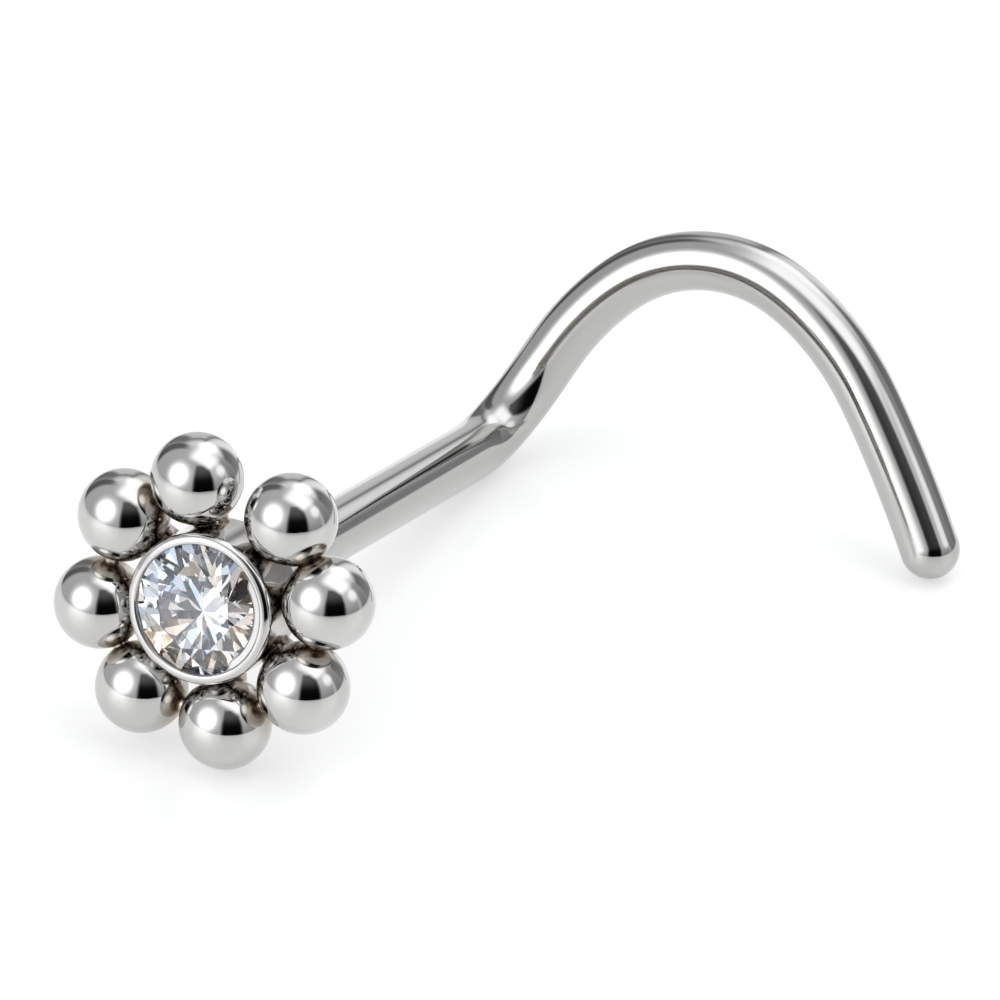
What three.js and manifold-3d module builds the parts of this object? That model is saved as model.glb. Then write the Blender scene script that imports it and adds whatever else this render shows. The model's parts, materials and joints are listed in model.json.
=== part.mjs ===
// Nostril screw: a bezel-set round stone in a flower of eight metal beads, on a wire that runs straight back
// as a post and then bends into a hooked curl. Millimetres, +Z up, the stone facing -Y. It lies at rest on a
// flat surface, on one bead of the flower, the bend of its wire and the wire's tip.

import * as THREE from "three";
import { ConvexGeometry } from "three/addons/geometries/ConvexGeometry.js";
import { mergeVertices } from "three/addons/utils/BufferGeometryUtils.js";
import Module from "manifold-3d";

// Flower. It is modelled round the Y axis, with the bead centres in the plane Y = 0 and the front at -Y.
const beadRadius = 0.605;
const beadRingRadius = 1.61;
const firstBeadAngle = 95;
// The step from each bead to the next, clockwise from the front. The beads were set by hand, so no two
// steps are quite alike, and the first two beads stand apart. The eight steps make a whole turn.
const beadSteps = [50.5, 42.5, 44, 45.5, 45, 44, 45.5, 43];
const widestSolderedStep = 48;
const solderRadius = 0.11;
const neckRadius = 0.23;
const neckSetBack = 0.23;
const neckStart = 0.9;
const neckEnd = 1.42;

// Bezel cup: radii from its axis, and heights in front of the bead centres.
const cupRadius = 1.0;
const cupBack = -0.74;
const cupBackRadius = 0.74;
const cupEdge = -0.48;
const cupEdgeRounding = 0.05;
const lipShoulder = 0.39;
const lipCrest = 0.47;
const lipInnerRadius = 0.855;
const lipInnerEdge = 0.44;
const pocketRadius = 0.12;
const pocketFloor = -0.52;

// Stone: a round brilliant, with its clearance in the cup.
const stoneRadius = 0.895;
const stoneClearance = 0.02;
const girdleHeight = 0.36;
const girdleThickness = 0.025;
const tableRadius = 0.52;
const crownAngle = 33;
const starRadius = 0.72;
const pavilionAngle = 41;
const lowerHalfRadius = 0.22;

// Wire: 0.8 mm, which is 20 gauge.
const wireRadius = 0.4;
const wireStart = 0.6;
const postLength = 8.377;
// The bend, one arc after another: tight where the post ends, then easing into the curl.
const bendWay = 55.7;
const bendArcs = [
  { length: 0.987, turn: 57.3 },
  { length: 0.904, turn: 26.8 },
];
// The curl's arcs turn clockwise from the front, in one plane that is tilted from square to the bend.
const curlTilt = 3.7;
const curlArcs = [
  { length: 1.47, turn: 21.6 },
  { length: 2.634, turn: 71.5 },
  { length: 1.706, turn: 25.5 },
  { length: 2.196, turn: 6.8 },
];

// The bead that the flower stands on, counted clockwise from the first, which is number 0.
const standingBead = 4;
const settlingRounds = 12;
const pointsPerArc = 60;

// How finely the round forms are cut into flats.
const beadSides = 20;
const beadBands = 12;
const cupSides = 40;
const lipCurveSteps = 3;
const wireSides = 14;
const wireSteps = 68;
const neckSides = 10;
const weldTolerance = 1e-5;

const { degToRad } = THREE.MathUtils;

// A point of the flower: an angle anticlockwise from the right as seen from the front, a radius from the
// axis, and a height in front of the bead centres.
function flowerPoint(angle, radius, height) {
  const a = degToRad(angle);
  return new THREE.Vector3(radius * Math.cos(a), -height, radius * Math.sin(a));
}

const beadCentres = [];
const beadAngles = [];
let beadAngle = firstBeadAngle;
for (const step of beadSteps) {
  beadAngles.push(beadAngle);
  beadCentres.push(flowerPoint(beadAngle, beadRingRadius, 0));
  beadAngle -= step;
}

const wasm = await Module();
wasm.setup();

function toSolid(geometry) {
  const bare = geometry.clone();
  bare.deleteAttribute("normal");
  bare.deleteAttribute("uv");
  const merged = mergeVertices(bare, weldTolerance);
  const vertProperties = new Float32Array(merged.attributes.position.array);
  const triVerts = new Uint32Array(merged.index.array);
  return new wasm.Manifold(new wasm.Mesh({ numProp: 3, vertProperties, triVerts }));
}

function toGeometry(solid) {
  const mesh = solid.getMesh();
  const geometry = new THREE.BufferGeometry();
  geometry.setAttribute("position", new THREE.BufferAttribute(mesh.vertProperties, 3));
  geometry.setIndex(new THREE.BufferAttribute(mesh.triVerts, 1));
  geometry.computeVertexNormals();
  return geometry;
}

// A round bar between two points.
function bar(from, to, radius) {
  const along = to.clone().sub(from);
  const geometry = new THREE.CylinderGeometry(radius, radius, along.length(), neckSides);
  const upright = new THREE.Vector3(0, 1, 0);
  geometry.applyQuaternion(new THREE.Quaternion().setFromUnitVectors(upright, along.normalize()));
  const middle = from.clone().lerp(to, 0.5);
  return geometry.translate(middle.x, middle.y, middle.z);
}

function bead(centre) {
  const geometry = new THREE.SphereGeometry(beadRadius, beadSides, beadBands);
  return geometry.translate(centre.x, centre.y, centre.z);
}

// The stub that carries a bead out from the side of the cup.
function neck(angle) {
  const from = flowerPoint(angle, neckStart, -neckSetBack);
  const to = flowerPoint(angle, neckEnd, -neckSetBack);
  return bar(from, to, neckRadius);
}

// Eight beads on their stubs, with solder between those that all but touch.
function beadRing() {
  const pieces = [];
  beadCentres.forEach((centre, i) => {
    pieces.push(bead(centre), neck(beadAngles[i]));
    const next = beadCentres[(i + 1) % beadCentres.length];
    if (beadSteps[i] < widestSolderedStep) pieces.push(bar(centre, next, solderRadius));
  });
  return pieces;
}

// The cup is turned from one outline: back, side, rolled lip, seat for the stone, and pocket for its point.
function cup() {
  const seatRadius = stoneRadius + stoneClearance;
  const seatTop = girdleHeight + girdleThickness / 2 + stoneClearance;
  const seatBottom = girdleHeight - girdleThickness / 2 - stoneClearance;
  const coneDrop = (seatRadius - pocketRadius) * Math.tan(degToRad(pavilionAngle));
  const crestRadius = (cupRadius + lipInnerRadius) / 2;
  const outline = new THREE.Path();
  outline.moveTo(0, cupBack);
  outline.lineTo(cupBackRadius, cupBack);
  outline.lineTo(cupRadius - cupEdgeRounding, cupEdge);
  outline.quadraticCurveTo(cupRadius, cupEdge, cupRadius, cupEdge + cupEdgeRounding);
  outline.lineTo(cupRadius, lipShoulder);
  outline.quadraticCurveTo(cupRadius, lipCrest, crestRadius, lipCrest);
  outline.quadraticCurveTo(lipInnerRadius, lipCrest, lipInnerRadius, lipInnerEdge);
  outline.lineTo(seatRadius, seatTop);
  outline.lineTo(seatRadius, seatBottom);
  outline.lineTo(pocketRadius, seatBottom - coneDrop);
  outline.lineTo(pocketRadius, pocketFloor);
  outline.lineTo(0, pocketFloor);
  const geometry = new THREE.LatheGeometry(outline.getPoints(lipCurveSteps), cupSides);
  // The lathe turns round +Y, and the cup opens towards -Y.
  return geometry.rotateX(Math.PI);
}

// An even arc of the wire, which sets off ahead and turns towards its side.
class WireArc extends THREE.Curve {
  constructor(start, ahead, side, length, turn) {
    super();
    Object.assign(this, { start, ahead, side, turn, radius: length / turn });
  }

  getPoint(t, target = new THREE.Vector3()) {
    const turned = this.turn * t;
    target.copy(this.start).addScaledVector(this.ahead, this.radius * Math.sin(turned));
    return target.addScaledVector(this.side, this.radius * (1 - Math.cos(turned)));
  }
}

// The wire's centre line: the post straight back from the cup, the bend's arcs and the curl's arcs.
function wireCentreLine() {
  const route = new THREE.CurvePath();
  let start = new THREE.Vector3(0, postLength, 0);
  let ahead = new THREE.Vector3(0, 1, 0);
  let side = new THREE.Vector3(Math.cos(degToRad(bendWay)), 0, Math.sin(degToRad(bendWay)));
  route.add(new THREE.LineCurve3(new THREE.Vector3(0, wireStart, 0), start));
  const follow = ({ length, turn }) => {
    const turned = degToRad(turn);
    const arc = new WireArc(start, ahead, side, length, turned);
    route.add(arc);
    start = arc.getPoint(1);
    const newSide = side.clone().multiplyScalar(Math.cos(turned)).addScaledVector(ahead, -Math.sin(turned));
    ahead = ahead.clone().multiplyScalar(Math.cos(turned)).addScaledVector(side, Math.sin(turned));
    side = newSide;
  };
  bendArcs.forEach(follow);
  const tilt = degToRad(curlTilt);
  const square = new THREE.Vector3().crossVectors(ahead, side);
  side = square.multiplyScalar(Math.cos(tilt)).addScaledVector(side, Math.sin(tilt));
  curlArcs.forEach(follow);
  return route;
}

const wireRoute = wireCentreLine();
const wireTip = wireRoute.getPoint(1);

// The wire, with its end rounded off.
function wire() {
  const section = new THREE.Shape();
  section.absarc(0, 0, wireRadius, 0, 2 * Math.PI);
  // A full circle is cut into twice as many sides as its curveSegments.
  const curveSegments = wireSides / 2;
  const settings = { curveSegments, steps: wireSteps, bevelEnabled: false, extrudePath: wireRoute };
  const length = new THREE.ExtrudeGeometry(section, settings);
  const end = new THREE.SphereGeometry(wireRadius, wireSides, beadBands);
  end.translate(wireTip.x, wireTip.y, wireTip.z);
  return [length, end];
}

// Cup, beads and wire are soldered together, so they are one solid.
function solderedMetal() {
  const pieces = [cup(), ...beadRing(), ...wire()];
  const whole = pieces.map(toSolid).reduce((joined, next) => joined.add(next));
  return toGeometry(whole);
}

// The stone is the hull of its facet corners. Its eight crown mains and eight pavilion mains are flat kites:
// each inner corner lies on the mains at both sides of it.
function stone() {
  const corners = [];
  const girdleTop = girdleHeight + girdleThickness / 2;
  const girdleBottom = girdleHeight - girdleThickness / 2;
  const crownSlope = Math.tan(degToRad(crownAngle));
  const pavilionSlope = Math.tan(degToRad(pavilionAngle));
  const facets = 8;
  const eighth = 360 / facets;
  const betweenMains = Math.cos(degToRad(eighth / 2));
  for (let i = 0; i < facets; i += 1) {
    const main = i * eighth;
    const between = main + eighth / 2;
    corners.push(flowerPoint(main, tableRadius, girdleTop + (stoneRadius - tableRadius) * crownSlope));
    const starDrop = (stoneRadius - starRadius * betweenMains) * crownSlope;
    corners.push(flowerPoint(between, starRadius, girdleTop + starDrop));
    for (const angle of [main, between]) {
      corners.push(flowerPoint(angle, stoneRadius, girdleTop));
      corners.push(flowerPoint(angle, stoneRadius, girdleBottom));
    }
    const lowerDrop = (stoneRadius - lowerHalfRadius * betweenMains) * pavilionSlope;
    corners.push(flowerPoint(between, lowerHalfRadius, girdleBottom - lowerDrop));
  }
  corners.push(flowerPoint(0, 0, girdleBottom - stoneRadius * pavilionSlope));
  return new ConvexGeometry(corners);
}

// Up for a surface that touches three balls from below. Seen from above, the balls go anticlockwise.
function upOver([first, second, third]) {
  const toSecond = second.centre.clone().sub(first.centre);
  const toThird = third.centre.clone().sub(first.centre);
  const square = new THREE.Vector3().crossVectors(toSecond, toThird);
  const up = new THREE.Vector3().crossVectors(toThird, square).multiplyScalar(second.radius - first.radius);
  const lean = new THREE.Vector3().crossVectors(square, toSecond);
  up.addScaledVector(lean, third.radius - first.radius).divideScalar(square.lengthSq());
  return up.addScaledVector(square.normalize(), Math.sqrt(1 - up.lengthSq()));
}

// The turn that brings the part to rest on a bead, the outside of the wire's bend and the wire's tip. Which
// point of the bend is lowest depends on the turn, so the two are worked out by turns.
function restingTurn() {
  const foot = { centre: beadCentres[standingBead], radius: beadRadius };
  const tip = { centre: wireTip, radius: wireRadius };
  const bendCurves = wireRoute.curves.slice(1, 1 + bendArcs.length);
  const bendPoints = bendCurves.flatMap((arc) => arc.getPoints(pointsPerArc));
  const bend = { centre: bendPoints[0], radius: wireRadius };
  let up = upOver([foot, tip, bend]);
  for (let i = 0; i < settlingRounds; i += 1) {
    bend.centre = bendPoints.reduce((lowest, next) => (next.dot(up) < lowest.dot(up) ? next : lowest));
    up = upOver([foot, tip, bend]);
  }
  const right = new THREE.Vector3(0, 1, 0).cross(up).normalize();
  const back = new THREE.Vector3().crossVectors(up, right);
  return new THREE.Matrix4().makeBasis(right, back, up).transpose();
}

const steel = new THREE.MeshStandardMaterial({ color: 0xc9c8c5, roughness: 0.06, metalness: 1 });
const crystal = new THREE.MeshStandardMaterial({ color: 0xf4f5f8, roughness: 0.02, metalness: 0 });

const metalMesh = new THREE.Mesh(solderedMetal(), steel);
metalMesh.name = "soldered_setting_and_wire";
const stoneMesh = new THREE.Mesh(stone(), crystal);
stoneMesh.name = "stone";

const stud = new THREE.Group();
stud.add(metalMesh, stoneMesh);
stud.setRotationFromMatrix(restingTurn());

// The origin is under the middle of the part, on the surface that it lies on.
const part = new THREE.Group();
part.add(stud);
part.updateMatrixWorld(true);
const box = new THREE.Box3().setFromObject(part, true);
const middle = box.getCenter(new THREE.Vector3());
stud.position.set(-middle.x, -middle.y, -box.min.z);

export default part;
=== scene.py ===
import bpy
import bmesh
import json
import math
import random
from mathutils import Matrix, Vector, kdtree


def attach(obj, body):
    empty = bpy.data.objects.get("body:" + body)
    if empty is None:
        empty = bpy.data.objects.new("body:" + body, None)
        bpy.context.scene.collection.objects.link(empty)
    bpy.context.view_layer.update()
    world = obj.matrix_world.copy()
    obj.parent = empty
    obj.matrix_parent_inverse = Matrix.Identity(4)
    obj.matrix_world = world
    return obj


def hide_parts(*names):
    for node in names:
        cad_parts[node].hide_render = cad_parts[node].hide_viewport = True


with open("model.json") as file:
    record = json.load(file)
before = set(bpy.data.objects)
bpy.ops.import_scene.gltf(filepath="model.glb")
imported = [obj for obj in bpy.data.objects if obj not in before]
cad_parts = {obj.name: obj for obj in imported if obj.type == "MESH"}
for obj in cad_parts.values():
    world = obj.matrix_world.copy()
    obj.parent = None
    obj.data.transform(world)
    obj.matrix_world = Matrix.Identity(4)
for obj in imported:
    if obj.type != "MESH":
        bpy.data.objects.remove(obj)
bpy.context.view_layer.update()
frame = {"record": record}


# ---- Bezel cup ------------------------------------------------------------------------------------------
# The cup that holds the stone is turned from surgical steel, and its lip is rolled in over the stone's
# edge. It is the piece that everything else is soldered to, so the flower's own axes are set out here:
# across and up in the plane of the beads, and back along the post.
MM = 0.001
mount = frame["record"]["mounts"][0]
post_way = Vector(mount["axis"]).normalized()
flower_lean = math.radians(12.735)
flower_across = Matrix.Rotation(-flower_lean, 3, post_way) @ Vector((1, 0, 0))
flower_up = flower_across.cross(post_way)
# The mount is a place on the cup's flat back, to the left of its middle.
mount_aside = 0.57
cup_back = -0.74
flower_middle = Vector(mount["pos_m"]) + (flower_across * mount_aside + post_way * cup_back) * MM


def flower_point(angle, radius, height):
    """A place on the flower: degrees anticlockwise from its right, and millimetres out and in front."""
    turned = math.radians(angle)
    across = flower_across * radius * math.cos(turned)
    up = flower_up * radius * math.sin(turned)
    return flower_middle + (across + up - post_way * height) * MM


def colour(code):
    """An sRGB hex value as the linear colour that a shader wants."""
    parts = [int(code[i : i + 2], 16) / 255 for i in (1, 3, 5)]
    return [c / 12.92 if c <= 0.04045 else ((c + 0.055) / 1.055) ** 2.4 for c in parts] + [1.0]


def add(tree, kind, inputs=None, **settings):
    """Adds one node: settings are its own properties, and inputs take a value or another node's output."""
    made = tree.nodes.new(kind)
    for name, value in settings.items():
        setattr(made, name, value)
    for name, value in (inputs or {}).items():
        if isinstance(value, bpy.types.NodeSocket):
            tree.links.new(value, made.inputs[name])
        else:
            made.inputs[name].default_value = value
    return made


def mesh_object(name, points, edges=(), faces=()):
    """A new object in the scene, with a mesh of plain corners, edges and faces."""
    mesh = bpy.data.meshes.new(name)
    mesh.from_pydata(points, edges, faces)
    made = bpy.data.objects.new(name, mesh)
    bpy.context.scene.collection.objects.link(made)
    return made


def blank_material(name):
    material = bpy.data.materials.new(name)
    material.use_nodes = True
    material.node_tree.nodes.clear()
    return material


# Stainless steel is polished to a mirror on a buffing wheel: a nearly neutral grey, with faint clouds of
# more and less polish, and hairlines that only break up the sharpest reflections. Where the solder's heat
# reached and the wheel doesn't, it stays satin and a heat-tinted brown, and that brown is painted darker
# as painted shade in the gaps between the parts, which keeps the gaps between the beads soft. Where it was
# only cut, under the stone, it is blurred, and its colour is painted lighter as painted light behind the
# stone.
cloud_scale = 900.0
hairline_scale = 5000.0
hairline_stretch = 14
hairline_strength = 0.004
hairline_depth = 0.02 * MM
satin_roughness = 0.2
# A heat-tinted brown that is also painted shade in the gaps between the parts.
heat_tint_and_shade_colour = "#ACA297"
cut_roughness = 0.45
# A lighter grey, painted light behind the stone.
cut_painted_light_colour = "#D2D1D0"


def stainless_steel(name, code, least_rough, most_rough):
    """Steel of one colour between two roughnesses, with painted shade where heated and painted light where
    cut.
    """
    material = blank_material(name)
    tree = material.node_tree
    place = add(tree, "ShaderNodeTexCoord").outputs["Object"]
    cloud = add(tree, "ShaderNodeTexNoise", {"Vector": place, "Scale": cloud_scale, "Detail": 2.0})
    lines = add(
        tree,
        "ShaderNodeMapping",
        {"Vector": place, "Rotation": (0.4, 0.9, 0.2), "Scale": (1, 1, hairline_stretch)},
    )
    hairline = add(
        tree,
        "ShaderNodeTexNoise",
        {"Vector": lines.outputs[0], "Scale": hairline_scale, "Detail": 3.0},
    )
    polished = add(
        tree,
        "ShaderNodeMapRange",
        {
            "Value": cloud.outputs["Fac"],
            "From Min": 0.3,
            "From Max": 0.7,
            "To Min": least_rough,
            "To Max": most_rough,
        },
    )
    # The heat attribute marks satin, heat-tinted steel round the joints, and its brown is also painted
    # shade in the gaps.
    heat_and_shade = add(tree, "ShaderNodeAttribute", attribute_name="solder_heat_and_shade")
    # The cut attribute marks blurred steel under the stone, painted lighter as painted light behind the
    # stone.
    cut = add(tree, "ShaderNodeAttribute", attribute_name="cut_and_painted_light")
    by_cutter = add(
        tree,
        "ShaderNodeMix",
        {0: cut.outputs["Fac"], 2: polished.outputs["Result"], 3: cut_roughness},
    )
    rough = add(
        tree,
        "ShaderNodeMix",
        {0: heat_and_shade.outputs["Fac"], 2: by_cutter.outputs[0], 3: satin_roughness},
    )
    outside_heat_and_shade = add(
        tree,
        "ShaderNodeMix",
        {0: cut.outputs["Fac"], 6: colour(code), 7: colour(cut_painted_light_colour)},
        data_type="RGBA",
    )
    tone = add(
        tree,
        "ShaderNodeMix",
        {0: heat_and_shade.outputs["Fac"], 6: outside_heat_and_shade.outputs[2], 7: colour(heat_tint_and_shade_colour)},
        data_type="RGBA",
    )
    bump = add(
        tree,
        "ShaderNodeBump",
        {
            "Height": hairline.outputs["Fac"],
            "Strength": hairline_strength,
            "Distance": hairline_depth,
        },
    )
    steel = add(
        tree,
        "ShaderNodeBsdfPrincipled",
        {
            "Base Color": tone.outputs[2],
            "Metallic": 1.0,
            "Roughness": rough.outputs[0],
            "Normal": bump.outputs["Normal"],
        },
    )
    add(tree, "ShaderNodeOutputMaterial", {"Surface": steel.outputs["BSDF"]})
    return material


polished_steel = stainless_steel("stainless_steel_mirror_polished", "#C6C5C3", 0.05, 0.08)


def rounded_outline(corners, arc_steps=10, straight_steps=6, long_enough=0.06):
    """The outline through corners (radius, height, rounding), each rounded one replaced by an arc.

    Straights over long_enough mm are cut into steps that crowd towards their ends, so that the smooth
    shading stays flat along them and turns only in the arcs.
    """
    points = []
    for i, (radius, height, rounding) in enumerate(corners):
        here = Vector((radius, height))
        if rounding == 0 or i in (0, len(corners) - 1):
            points.append(here)
            continue
        before = (Vector(corners[i - 1][:2]) - here).normalized()
        after = (Vector(corners[i + 1][:2]) - here).normalized()
        half = before.angle(after) / 2
        reach = rounding / math.tan(half)
        middle = here + (before + after).normalized() * rounding / math.sin(half)
        first = here + before * reach - middle
        last = here + after * reach - middle
        sweep = first.angle(last)
        for k in range(arc_steps + 1):
            t = k / arc_steps
            share = (math.sin((1 - t) * sweep) * first + math.sin(t * sweep) * last) / math.sin(sweep)
            points.append(middle + share)
    dense = []
    for here, there in zip(points, points[1:]):
        length = (there - here).length
        cuts = straight_steps if length > long_enough else 1
        dense += [here.lerp(there, (1 - math.cos(math.pi * k / cuts)) / 2) for k in range(cuts)]
    return dense + [points[-1]]


cup_sides = 240


def turned_piece(name, outline, pressed):
    """A turned solid: the outline, from axis to axis, once round the flower's axis, and then pressed."""
    vertices, faces = [flower_point(0, 0, outline[0].y)], []
    for point in outline[1:-1]:
        for k in range(cup_sides):
            angle = 360 * k / cup_sides
            inward, forward = pressed(angle, point)
            vertices.append(flower_point(angle, point.x - inward, point.y + forward))
    vertices.append(flower_point(0, 0, outline[-1].y))
    rings = len(outline) - 2
    for k in range(cup_sides):
        n = (k + 1) % cup_sides
        faces.append((0, 1 + k, 1 + n))
        for r in range(rings - 1):
            a = 1 + r * cup_sides
            faces.append((a + k, a + cup_sides + k, a + cup_sides + n, a + n))
        last = 1 + (rings - 1) * cup_sides
        faces.append((last + k, len(vertices) - 1, last + n))
    piece = mesh_object(name, vertices, faces=faces)
    piece.data.shade_smooth()
    return piece


# The outline runs from the middle of the back, up the side, over the lip, down the seat that the stone's
# edge sits in, and down the cone under the stone to the pocket for its point.
cup_outline = rounded_outline(
    [
        (0, cup_back, 0),
        (0.74, cup_back, 0.03),
        (0.95, -0.48, 0.03),
        (1.0, -0.43, 0.03),
        (1.0, 0.515, 0.1),
        (0.862, 0.515, 0.03),
        (0.862, 0.48, 0),
        (0.862, 0.47, 0),
        (0.862, 0.46, 0),
        (0.862, 0.445, 0.004),
        (0.915, 0.4075, 0.004),
        (0.915, 0.3425, 0.004),
        (0.3, -0.315, 0.03),
        (0.3, -0.58, 0.03),
        (0, -0.58, 0),
    ]
)
# On its right, the lip's inner wall was burnished further in, as a narrow ledge over the stone. Angles are
# in degrees anticlockwise from the flower's right, and heights in mm from the plane of the beads. From
# wall_top down to wall_foot the ledge grows, and down to wall_end it stays as wide.
ledge_middle = -17
ledge_reach = 46
ledge_fade = 7
ledge_width = 0.094
ledge_lift = 0.03
wall_top = 0.486
wall_foot = 0.448
wall_end = 0.43
wall_radius = 0.875


def smooth_share(share):
    """A share held between 0 and 1, its ends softened."""
    share = min(max(share, 0), 1)
    return share * share * (3 - 2 * share)


def burnished(angle, point):
    """How far a point of the lip's inner wall is pressed in and forward, at an angle round the cup."""
    if not (point.x < wall_radius and wall_end < point.y < wall_top):
        return 0, 0
    off = abs((angle - ledge_middle + 180) % 360 - 180)
    share = smooth_share((ledge_reach + ledge_fade - off) / (2 * ledge_fade))
    share = share * min((wall_top - point.y) / (wall_top - wall_foot), 1)
    return ledge_width * share, ledge_lift * share


cup = turned_piece("bezel_cup", cup_outline, burnished)
# The ledge, the seat and the cone under the stone are as the cutter left them: blurred, not buffed, and
# painted lighter, as painted light behind the stone.
crest = max(range(len(cup_outline)), key=lambda i: cup_outline[i].y)
cut_and_light_shares = [0.0]
for i, point in enumerate(cup_outline[1:-1], 1):
    cut_and_light_shares += [1.0 if i > crest and point.y < wall_top else 0.0] * cup_sides
cut_and_light_shares.append(1.0)
cut = cup.data.attributes.new("cut_and_painted_light", "FLOAT", "POINT")
cut.data.foreach_set("value", cut_and_light_shares)
cup.data.materials.append(polished_steel)
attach(cup, "root")
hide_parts("soldered_setting_and_wire")


# ---- Bead ring ------------------------------------------------------------------------------------------
# Eight solid steel balls, ground and tumbled, stand round the cup with their middles in one plane. They
# were set by hand, so the steps between them are not quite alike.
bead_radius = 0.605
ring_radius = 1.61
first_bead_angle = 95
bead_steps = [50.5, 42.5, 44, 45.5, 45, 44, 45.5, 43]
bead_angles = [first_bead_angle - sum(bead_steps[:i]) for i in range(len(bead_steps))]
ball_fineness = 6


def node_group(name, sizes):
    """A geometry tree with one number input for each name in sizes, next to the geometry."""
    group = bpy.data.node_groups.new(name, "GeometryNodeTree")
    group.interface.new_socket("Geometry", in_out="INPUT", socket_type="NodeSocketGeometry")
    for size, kind in sizes.items():
        group.interface.new_socket(size, in_out="INPUT", socket_type=kind)
    group.interface.new_socket("Geometry", in_out="OUTPUT", socket_type="NodeSocketGeometry")
    return group


def grow(base, group, values):
    """Runs a geometry tree on base, with its inputs set by name, and keeps the result as a plain mesh."""
    modifier = base.modifiers.new(group.name, "NODES")
    modifier.node_group = group
    for item in group.interface.items_tree:
        if item.in_out == "INPUT" and item.name in values:
            modifier[item.identifier] = values[item.name]
    bpy.context.view_layer.update()
    grown = base.evaluated_get(bpy.context.evaluated_depsgraph_get())
    mesh = bpy.data.meshes.new_from_object(grown)
    base.modifiers.remove(modifier)
    base.data = mesh


def finish_tree(group, geometry, material):
    """Ends a geometry tree: one real mesh, smooth shading, and the material."""
    real = add(group, "GeometryNodeRealizeInstances", {"Geometry": geometry})
    smooth = add(group, "GeometryNodeSetShadeSmooth", {"Geometry": real.outputs["Geometry"]})
    made = add(
        group,
        "GeometryNodeSetMaterial",
        {"Geometry": smooth.outputs["Geometry"], "Material": material},
    )
    add(group, "NodeGroupOutput", {"Geometry": made.outputs["Geometry"]})


balls = node_group("balls_on_points", {"Ball radius": "NodeSocketFloat", "Fineness": "NodeSocketInt"})
given = add(balls, "NodeGroupInput")
ball = add(
    balls,
    "GeometryNodeMeshIcoSphere",
    {"Radius": given.outputs["Ball radius"], "Subdivisions": given.outputs["Fineness"]},
)
placed = add(
    balls,
    "GeometryNodeInstanceOnPoints",
    {"Points": given.outputs["Geometry"], "Instance": ball.outputs["Mesh"]},
)
finish_tree(balls, placed.outputs["Instances"], polished_steel)

bead_middles = [flower_point(angle, ring_radius, 0) for angle in bead_angles]
beads = mesh_object("bead_ring", bead_middles)
grow(beads, balls, {"Ball radius": bead_radius * MM, "Fineness": ball_fineness})
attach(beads, "root")
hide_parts("soldered_setting_and_wire")


# ---- Stubs and solder -----------------------------------------------------------------------------------
# Each bead stands on a short steel stub out from the side of the cup, and solder has run between the beads
# that all but touch. Both are round bars, and the stubs flare where the solder has crept up at their ends.
bar_steps = 40
creep_sharpness = 4.0
bars = node_group(
    "soldered_bars",
    {"Waist radius": "NodeSocketFloat", "Flare": "NodeSocketFloat", "Sides": "NodeSocketInt"},
)
given = add(bars, "NodeGroupInput")
line = add(bars, "GeometryNodeMeshToCurve", {"Mesh": given.outputs["Geometry"]})
fine = add(bars, "GeometryNodeResampleCurve", {"Curve": line.outputs["Curve"], "Count": bar_steps})
along = add(bars, "GeometryNodeSplineParameter")
off_middle = add(
    bars,
    "ShaderNodeMapRange",
    {"Value": along.outputs["Factor"], "To Min": -1.0, "To Max": 1.0},
)
creep = add(
    bars,
    "ShaderNodeMath",
    {0: off_middle.outputs["Result"], 1: creep_sharpness},
    operation="POWER",
)
swell = add(
    bars,
    "ShaderNodeMath",
    {0: creep.outputs[0], 1: given.outputs["Flare"], 2: given.outputs["Waist radius"]},
    operation="MULTIPLY_ADD",
)
section = add(
    bars,
    "GeometryNodeCurvePrimitiveCircle",
    {"Resolution": given.outputs["Sides"], "Radius": 1.0},
)
skin = add(
    bars,
    "GeometryNodeCurveToMesh",
    {
        "Curve": fine.outputs["Curve"],
        "Profile Curve": section.outputs["Curve"],
        "Scale": swell.outputs[0],
        "Fill Caps": True,
    },
)
finish_tree(bars, skin.outputs["Mesh"], polished_steel)


def bar_object(name, ends):
    """Bars before they are grown: one straight edge for each pair of ends."""
    return mesh_object(name, ends, edges=[(i, i + 1) for i in range(0, len(ends), 2)])


# A stub runs from inside the cup's side to inside its bead, a little behind the bead's middle.
stub_radius = 0.23
stub_flare = 0.05
stub_start = 0.93
stub_end = 1.38
stub_height = -0.23
stub_ends = []
for angle in bead_angles:
    for radius in (stub_start, stub_end):
        stub_ends.append(flower_point(angle, radius, stub_height))
stubs = bar_object("bead_stubs", stub_ends)
grow(stubs, bars, {"Waist radius": stub_radius * MM, "Flare": stub_flare * MM, "Sides": 64})
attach(stubs, "root")
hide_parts("soldered_setting_and_wire")

# The first two beads stand further apart than the rest, and no solder has run between them.
neck_radius = 0.11
solder_ends = []
for here, there in zip(bead_middles[1:], bead_middles[2:] + bead_middles[:1]):
    solder_ends += [here, there]
solder = bar_object("bead_solder", solder_ends)
grow(solder, bars, {"Waist radius": neck_radius * MM, "Flare": 0.0, "Sides": 48})
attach(solder, "root")
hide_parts("soldered_setting_and_wire")


# ---- Wire -----------------------------------------------------------------------------------------------
# One length of 0.8 mm steel wire, drawn, bent cold over a former and polished. It runs straight back from
# the cup as the post, turns through a bend that eases off, and curls away in four arcs in one plane.
# Drawing and bending leave it a little less flat than the beads, so what it mirrors is softer. Its grey is
# painted a shade darker than the beads' steel, as painted shade.
wire_steel = stainless_steel("stainless_steel_wire_drawn_and_polished", "#B9B8B6", 0.07, 0.1)
# The arcs are pairs of length in mm and turn in degrees.
wire_radius = 0.4
wire_start = 0.6
post_length = 8.377
bend_way = math.radians(55.7)
bend_arcs = [(0.987, 57.3), (0.904, 26.8)]
curl_tilt = math.radians(3.7)
curl_arcs = [(1.47, 21.6), (2.634, 71.5), (1.706, 25.5), (2.196, 6.8)]


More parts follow.
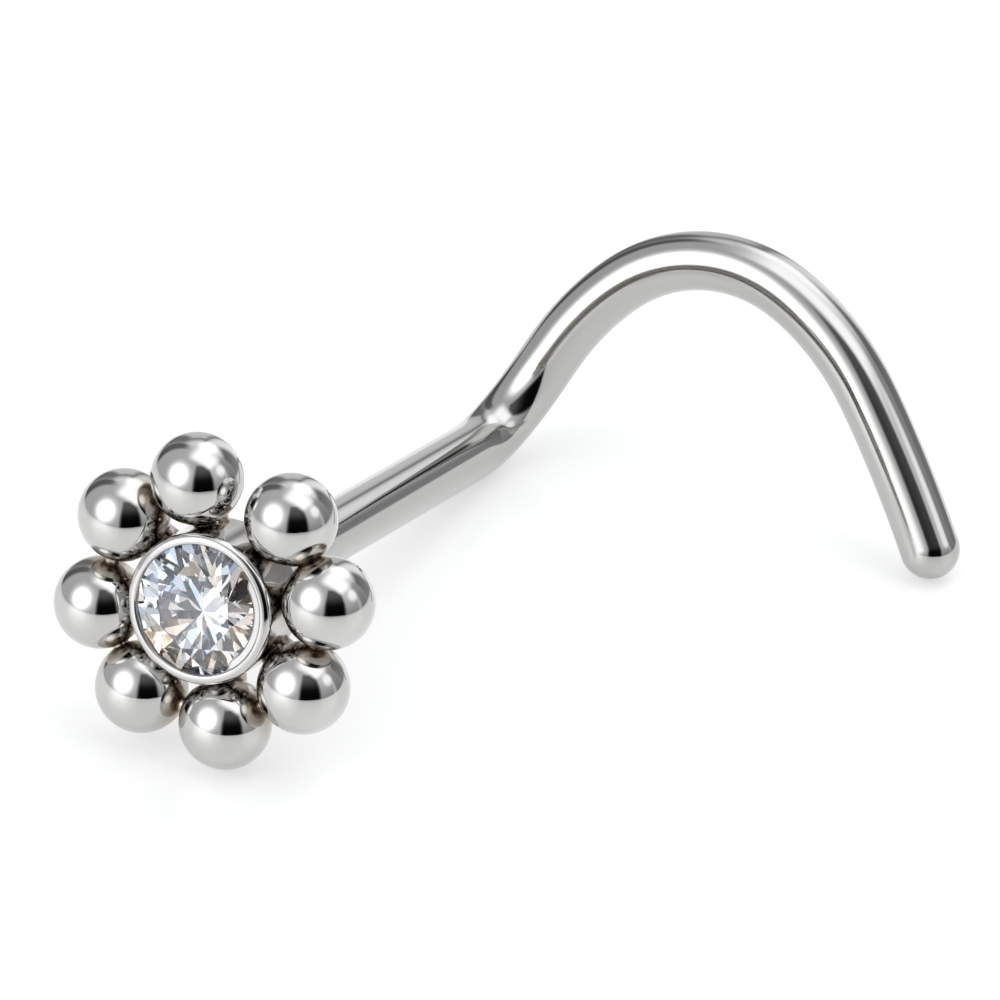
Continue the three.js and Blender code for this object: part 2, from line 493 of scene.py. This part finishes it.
def eased(points, spacing=0.03, reach=16):
    """The same line at an even spacing in mm, its turns eased in and out over reach points either side."""
    even, travelled = [points[0]], 0.0
    for here, there in zip(points, points[1:]):
        length = (there - here).length / MM
        while travelled + length >= spacing * len(even):
            even.append(here.lerp(there, (spacing * len(even) - travelled) / length))
        travelled += length
    too_short = 0.2 * spacing * MM
    if (points[-1] - even[-1]).length > too_short:
        even.append(points[-1])
    soft = []
    for i in range(len(even)):
        near = min(reach, i, len(even) - 1 - i)
        steps = range(-near, near + 1)
        weights = [math.cos(math.pi / 2 * k / (near + 1)) ** 2 for k in steps]
        around = (even[i + k] * weight for k, weight in zip(steps, weights))
        soft.append(sum(around, Vector()) / sum(weights))
    return soft


def wire_route(post_steps=60, arc_steps=60, tip_steps=24, least_share=1e-4):
    """Points and thickness shares along the wire's middle, to the very end of its rounded tip."""
    ahead = post_way
    side = flower_across * math.cos(bend_way) + flower_up * math.sin(bend_way)
    straight = post_length - wire_start
    route = []
    for k in range(post_steps):
        route.append(flower_middle + ahead * (wire_start + straight * k / post_steps) * MM)
    here = flower_middle + ahead * post_length * MM
    for i, (length, turn) in enumerate(bend_arcs + curl_arcs):
        if i == len(bend_arcs):
            side = ahead.cross(side) * math.cos(curl_tilt) + side * math.sin(curl_tilt)
        whole_turn = math.radians(turn)
        radius = length * MM / whole_turn
        for k in range(arc_steps):
            turned = whole_turn * k / arc_steps
            route.append(here + (ahead * math.sin(turned) + side * (1 - math.cos(turned))) * radius)
        here = here + (ahead * math.sin(whole_turn) + side * (1 - math.cos(whole_turn))) * radius
        ahead, side = (
            ahead * math.cos(whole_turn) + side * math.sin(whole_turn),
            side * math.cos(whole_turn) - ahead * math.sin(whole_turn),
        )
    route = eased(route + [here])[:-1]
    shares = [1.0] * len(route)
    for k in range(tip_steps + 1):
        turned = math.pi / 2 * k / tip_steps
        route.append(here + ahead * wire_radius * MM * math.sin(turned))
        shares.append(max(math.cos(turned), least_share))
    return route, shares


wire_skin = node_group(
    "wire_on_route",
    {"Wire radius": "NodeSocketFloat", "Sides": "NodeSocketInt", "Weld": "NodeSocketFloat"},
)
given = add(wire_skin, "NodeGroupInput")
line = add(wire_skin, "GeometryNodeMeshToCurve", {"Mesh": given.outputs["Geometry"]})
share = add(
    wire_skin,
    "GeometryNodeInputNamedAttribute",
    {"Name": "thickness"},
    data_type="FLOAT",
)
section = add(
    wire_skin,
    "GeometryNodeCurvePrimitiveCircle",
    {"Resolution": given.outputs["Sides"], "Radius": given.outputs["Wire radius"]},
)
skin = add(
    wire_skin,
    "GeometryNodeCurveToMesh",
    {
        "Curve": line.outputs["Curve"],
        "Profile Curve": section.outputs["Curve"],
        "Scale": share.outputs["Attribute"],
        "Fill Caps": True,
    },
)
welded = add(
    wire_skin,
    "GeometryNodeMergeByDistance",
    {"Geometry": skin.outputs["Mesh"], "Distance": given.outputs["Weld"]},
)
finish_tree(wire_skin, welded.outputs["Geometry"], wire_steel)

route, shares = wire_route()
wire = mesh_object("post_and_curl", route, edges=[(i, i + 1) for i in range(len(route) - 1)])
thickness = wire.data.attributes.new("thickness", "FLOAT", "POINT")
thickness.data.foreach_set("value", shares)
# The last ring of the tip is all but a point, and is welded into one.
tip_weld = 0.0001
grow(wire, wire_skin, {"Wire radius": wire_radius * MM, "Sides": 96, "Weld": tip_weld * MM})
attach(wire, "root")
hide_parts("soldered_setting_and_wire")

# The torch has left its heat round every joint: where each stub enters the cup, in the middle of each neck
# of solder, and round the post's foot. There the steel is satin and heat-tinted, and its brown is also the
# painted shade of the gaps between the parts. For each piece, the heat and its painted shade are full up
# to one distance in mm from a joint, and gone at another. The stubs and the solder are heated and painted
# with shade all over.
stub_joint_height = -0.2
joints = []
for angle in bead_angles:
    joints += [flower_point(angle, radius, stub_joint_height) for radius in (1.0, 1.06)]
joints += [(solder_ends[i] + solder_ends[i + 1]) / 2 for i in range(0, len(solder_ends), 2)]
joints += [flower_point(angle, wire_radius, cup_back) for angle in range(0, 360, 15)]
joint_tree = kdtree.KDTree(len(joints))
for i, joint in enumerate(joints):
    joint_tree.insert(joint, i)
joint_tree.balance()
heat_and_shade_zones = [
    (beads, 0.12, 0.52),
    (cup, 0.2, 0.5),
    (wire, 0.1, 0.6),
    (stubs, 9, 10),
    (solder, 9, 10),
]
for piece, full, gone in heat_and_shade_zones:
    heat_and_shade_shares = []
    for vertex in piece.data.vertices:
        distance = joint_tree.find(vertex.co)[2] / MM
        heat_and_shade_shares.append(smooth_share((gone - distance) / (gone - full)))
    heat_and_shade = piece.data.attributes.new("solder_heat_and_shade", "FLOAT", "POINT")
    heat_and_shade.data.foreach_set("value", heat_and_shade_shares)


# ---- Stone ----------------------------------------------------------------------------------------------
# A round brilliant of cubic zirconia, held under the lip, cut and polished flat facet by facet: an
# eight-sided table, a sloping crown, a thin edge and a deep cone of facets underneath. It was cut by hand,
# and the point that the lower facets meet at lies a little off the middle.
stone_radius = 0.895
edge_middle = 0.375
edge_thickness = 0.025
table_radius = 0.52
star_radius = 0.72
crown_slope = math.radians(33)
lower_slope = math.radians(41)
lower_facet_radius = 0.22
point_off_middle = (-0.074, -0.096)


def brilliant_corners():
    """Corners of the cut: across, up and forward in millimetres from the flower's middle.

    A corner between two main facets lies on both of them, so its height is worked out at its distance
    from the middle along the way that either facet faces.
    """
    edge_top = edge_middle + edge_thickness / 2
    edge_bottom = edge_middle - edge_thickness / 2
    point_height = edge_bottom - stone_radius * math.tan(lower_slope)
    half_step = math.cos(math.radians(22.5))
    table_in = stone_radius - table_radius
    star_in = stone_radius - star_radius * half_step
    lower_in = stone_radius - lower_facet_radius * half_step
    table_height = edge_top + table_in * math.tan(crown_slope)
    star_height = edge_top + star_in * math.tan(crown_slope)
    lower_height = edge_bottom - lower_in * math.tan(lower_slope)
    rings = []
    for main in range(8):
        at_main, between = 45 * main + 22.5, 45 * main + 45
        rings += [(at_main, table_radius, table_height), (between, star_radius, star_height)]
        for angle in (at_main, between):
            rings += [(angle, stone_radius, edge_top), (angle, stone_radius, edge_bottom)]
        rings.append((between, lower_facet_radius, lower_height))
    rings.append((0, 0, point_height))
    corners = []
    for angle, radius, height in rings:
        depth = max(0, (edge_bottom - height) / (edge_bottom - point_height))
        across = radius * math.cos(math.radians(angle)) + point_off_middle[0] * depth
        up = radius * math.sin(math.radians(angle)) + point_off_middle[1] * depth
        corners.append((across, up, height))
    return corners


# The stone is the hull of its corners, and triangles that lie in one plane are joined into one facet.
flat_within = 0.002
shell = bmesh.new()
for across, up, height in brilliant_corners():
    from_middle = flower_across * across + flower_up * up - post_way * height
    shell.verts.new(flower_middle + from_middle * MM)
bmesh.ops.convex_hull(shell, input=shell.verts)
bmesh.ops.dissolve_limit(shell, angle_limit=flat_within, verts=shell.verts, edges=shell.edges)
bmesh.ops.recalc_face_normals(shell, faces=shell.faces)
stone_mesh = bpy.data.meshes.new("round_brilliant")
shell.to_mesh(stone_mesh)
shell.free()
# Cubic zirconia bends light strongly, and throws blue and orange fire. The fire is painted: each facet has
# a tint of its own, from pale blue by way of clear to pale peach, so that the facets differ in hue as well
# as in brightness.
refractive_index = 2.165
random.seed(5)
painted_fire_tint = stone_mesh.attributes.new("painted_fire_tint", "FLOAT", "FACE")
painted_fire_tint.data.foreach_set("value", [random.random() for face in stone_mesh.polygons])
cubic_zirconia = blank_material("cubic_zirconia_cut_and_polished")
tree = cubic_zirconia.node_tree
tint = add(tree, "ShaderNodeAttribute", attribute_name="painted_fire_tint")
painted_fire = add(tree, "ShaderNodeValToRGB", {"Fac": tint.outputs["Fac"]})
ramp = painted_fire.color_ramp
ramp.elements[0].position, ramp.elements[0].color = 0.1, colour("#F0F6FF")
ramp.elements[1].position, ramp.elements[1].color = 0.9, colour("#FFF6EC")
ramp.elements.new(0.4).color = colour("#FBFBFB")
ramp.elements.new(0.65).color = colour("#FBFBFB")
clear = add(
    tree,
    "ShaderNodeBsdfGlass",
    {"Color": painted_fire.outputs["Color"], "Roughness": 0.0, "IOR": refractive_index},
)
add(tree, "ShaderNodeOutputMaterial", {"Surface": clear.outputs[0]})
stone = bpy.data.objects.new("round_brilliant", stone_mesh)
bpy.context.scene.collection.objects.link(stone)
stone.data.materials.append(cubic_zirconia)
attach(stone, "root")
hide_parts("stone")


# ---- Floor, light and camera ----------------------------------------------------------------------------
# The stud lies on a small sheet of white acrylic with a soft sheen and a painted glow of its own. Round it
# stand a white overhead softbox, a large softbox with a hot middle in front and to the left, a black card
# to the right of it, a smaller softbox beyond the card, and pale and dark boards behind.
floor_half_width = 45
painted_pool_start = 18
painted_pool_end = 36
painted_glow_inside = 0.5
painted_glow_outside = 0.3
# The sheet's sheen takes up soft reflections, and its painted glow keeps it white and its shadows faint.
# Further out its glow and its grey are painted darker, a painted pool of light round the stud, so that the
# metal mirrors it as a floor that darkens with distance.
white_acrylic = blank_material("white_acrylic_sheet_satin")
tree = white_acrylic.node_tree
place = add(tree, "ShaderNodeTexCoord")
outward = add(tree, "ShaderNodeVectorMath", {0: place.outputs["Object"]}, operation="LENGTH")
# Out from the stud, the glow and the grey fall off together: a painted pool of light round it.
outside_painted_pool = add(
    tree,
    "ShaderNodeMapRange",
    {
        "Value": outward.outputs["Value"],
        "From Min": painted_pool_start * MM,
        "From Max": painted_pool_end * MM,
    },
    interpolation_type="SMOOTHSTEP",
)
painted_glow = add(
    tree,
    "ShaderNodeMapRange",
    {"Value": outside_painted_pool.outputs["Result"], "To Min": painted_glow_inside, "To Max": painted_glow_outside},
)
tone = add(
    tree,
    "ShaderNodeMix",
    {0: outside_painted_pool.outputs["Result"], 6: colour("#C6C6C6"), 7: colour("#B0B0B0")},
    data_type="RGBA",
)
sheet = add(
    tree,
    "ShaderNodeBsdfPrincipled",
    {
        "Base Color": tone.outputs[2],
        "Roughness": 0.28,
        "IOR": 1.55,
        "Emission Color": (1, 1, 1, 1),
        "Emission Strength": painted_glow.outputs["Result"],
    },
)
add(tree, "ShaderNodeOutputMaterial", {"Surface": sheet.outputs["BSDF"]})
reach = floor_half_width * MM
floor_corners = [(-reach, -reach, 0), (reach, -reach, 0), (reach, reach, 0), (-reach, reach, 0)]
floor = mesh_object("floor", floor_corners, faces=[(0, 1, 2, 3)])
floor.data.materials.append(white_acrylic)

# The studio is painted on the world by direction: azimuth, in degrees from the front and positive to the
# right, and rise, in degrees above the horizon.
studio = bpy.data.worlds.new("studio")
bpy.context.scene.world = studio
studio.use_nodes = True
tree = studio.node_tree
tree.nodes.clear()
way = add(tree, "ShaderNodeTexCoord")
parts = add(tree, "ShaderNodeSeparateXYZ", {0: way.outputs["Generated"]})


def maths(operation, *values):
    """One Math node of the studio's tree, and its result."""
    return add(tree, "ShaderNodeMath", dict(enumerate(values)), operation=operation).outputs[0]


def fade(value, gone, full):
    """A soft edge: nothing at gone, all of it at full."""
    edge = {"Value": value, "From Min": gone, "From Max": full}
    return add(tree, "ShaderNodeMapRange", edge, interpolation_type="SMOOTHSTEP").outputs[0]


right, back, height = (parts.outputs[axis] for axis in ("X", "Y", "Z"))
front = maths("MULTIPLY", back, -1.0)
azimuth = maths("DEGREES", maths("ARCTAN2", right, front))
rise = maths("DEGREES", maths("ARCSINE", height))

# Each board or softbox: its middle azimuth and half width, how soft its sides are, where its top is and
# how soft it is, in degrees, and its brightness at the foot and at the top. Later ones stand in front.
panels = [
    ("pale_board_behind", 180, 12, 5, 44, 8, 1.3, 1.2),
    ("board_edge", -167, 3, 3, 44, 8, 0.25, 0.4),
    ("dark_strip_behind", -147, 24, 9, 44, 12, 0.2, 0.3),
    ("pale_board_back_left", -155, 11, 4, 33, 4, 0.85, 0.8),
    ("dark_board_back_right", 148, 18, 8, 38, 8, 0.34, 0.2),
    ("right_board", 122, 12, 6, 46, 8, 0.3, 0.5),
    ("softbox_front", -46, 66, 4, 66, 6, 0.6, 0.68),
    ("dark_strip_left", -115, 10, 5, 58, 12, 0.13, 0.2),
    ("softbox_right", 86, 20, 6, 50, 6, 0.4, 1.0),
    ("black_card", 41, 25.5, 6, 61, 5, 0.0, 0.17),
    ("black_card_foot", 41, 25.5, 6, 34, 14, 0.0, 0.01),
]
# The tent's white cloth: brighter behind the stud than in front of it.
cloth_in_front = 0.8
cloth_behind = 1.15
behind = fade(back, 0.05, 0.6)
cloth = {"Value": behind, "To Min": cloth_in_front, "To Max": cloth_behind}
seen = add(tree, "ShaderNodeMapRange", cloth).outputs[0]
for name, middle, half_width, side_soft, top, top_soft, foot_light, top_light in panels:
    off = maths("SUBTRACT", azimuth, middle)
    aside = maths("ABSOLUTE", maths("WRAP", off, 180.0, -180.0))
    within = fade(aside, half_width + side_soft, half_width - side_soft)
    below = fade(rise, top + top_soft, top - top_soft)
    shade = {
        "Value": rise,
        "From Min": 0.0,
        "From Max": top,
        "To Min": foot_light,
        "To Max": top_light,
    }
    strength = add(tree, "ShaderNodeMapRange", shade).outputs[0]
    panel = add(
        tree,
        "ShaderNodeMix",
        {0: maths("MULTIPLY", within, below), 6: seen, 7: strength},
        data_type="RGBA",
        label=name,
    )
    seen = panel.outputs[2]
# Round lights: azimuth, rise, the angles from their middle where the light is full and where it has gone,
# and brightness.
round_lights = [
    ("key_glow", -30, 24.5, 14, 42, 0.85),
    ("key_core", -30, 24.5, 12, 32, 1.3),
    ("right_lamp", 98, 31, 5, 18, 0.8),
    ("back_lamp", 172, 58, 9, 24, 0.9),
]
for name, side, up, full, gone, brightness in round_lights:
    a, e = math.radians(side), math.radians(up)
    aim = (math.sin(a) * math.cos(e), -math.cos(a) * math.cos(e), math.sin(e))
    facing = add(
        tree,
        "ShaderNodeVectorMath",
        {0: way.outputs["Generated"], 1: aim},
        operation="DOT_PRODUCT",
    )
    off = maths("DEGREES", maths("ARCCOSINE", facing.outputs["Value"]))
    lamp = {0: seen, 1: maths("MULTIPLY", fade(off, gone, full), brightness)}
    seen = add(tree, "ShaderNodeVectorMath", lamp, operation="ADD", label=name).outputs[0]
# The overhead softbox, in directions divided by their height. Its front edge is turned a little.
overhead_light = 1.95
turned = math.radians(-6)
over_x = maths("DIVIDE", right, height)
over_y = maths("DIVIDE", front, height)
ahead_part = maths("MULTIPLY", over_x, math.sin(turned))
ahead = maths("MULTIPLY_ADD", over_y, math.cos(turned), ahead_part)
aside_part = maths("MULTIPLY", over_y, -math.sin(turned))
aside = maths("MULTIPLY_ADD", over_x, math.cos(turned), aside_part)
front_to_back = maths("MULTIPLY", fade(ahead, 0.47, 0.14), fade(ahead, -0.75, -0.12))
side_to_side = maths("MULTIPLY", fade(aside, -0.4, 0.02), fade(aside, 1.1, 0.65))
above = maths("GREATER_THAN", height, 0.0)
over = maths("MULTIPLY", maths("MULTIPLY", front_to_back, side_to_side), above)
overhead = add(
    tree,
    "ShaderNodeMix",
    {0: over, 6: seen, 7: [overhead_light] * 3 + [1]},
    data_type="RGBA",
    label="overhead_softbox",
)
# Daylight tubes in every box, a touch cooler than the camera's white.
daylight = (0.985, 1.0, 1.016)
cool = add(
    tree,
    "ShaderNodeVectorMath",
    {0: overhead.outputs[2], 1: daylight},
    operation="MULTIPLY",
)
light = add(tree, "ShaderNodeBackground", {"Color": cool.outputs[0], "Strength": 1.0})
add(tree, "ShaderNodeOutputWorld", {"Surface": light.outputs[0]})

# The camera looks down on the lying stud from the front and the right, from far enough off that nothing
# looks stretched. Its axes are across, up and back towards the camera, and its place is given along them,
# in mm from the flower's middle.
camera_across = Vector((0.90723094, 0.41418816, 0.07334971)).normalized()
camera_back = Vector((0.3299939, -0.80896758, 0.48649305)).normalized()
camera_up = camera_back.cross(camera_across).normalized()
camera_across = camera_up.cross(camera_back).normalized()
camera_data = bpy.data.cameras.new("camera")
camera_data.lens = 432
camera_data.clip_start = 0.01
camera = bpy.data.objects.new("camera", camera_data)
eye_across, eye_up, eye_back = 3.660, 1.290, 153.45
from_flower = camera_across * eye_across + camera_up * eye_up + camera_back * eye_back
eye = flower_middle + from_flower * MM
turn = Matrix((camera_across, camera_up, camera_back)).transposed().to_4x4()
camera.matrix_world = Matrix.Translation(eye) @ turn
bpy.context.scene.collection.objects.link(camera)
bpy.context.scene.camera = camera
bpy.context.scene.view_settings.view_transform = "Standard"
# Light goes to and fro many times in the gaps between the beads and inside the stone, and both would turn
# black if it were cut off early.
bpy.context.scene.cycles.max_bounces = 20
bpy.context.scene.cycles.glossy_bounces = 14
bpy.context.scene.cycles.transmission_bounces = 14
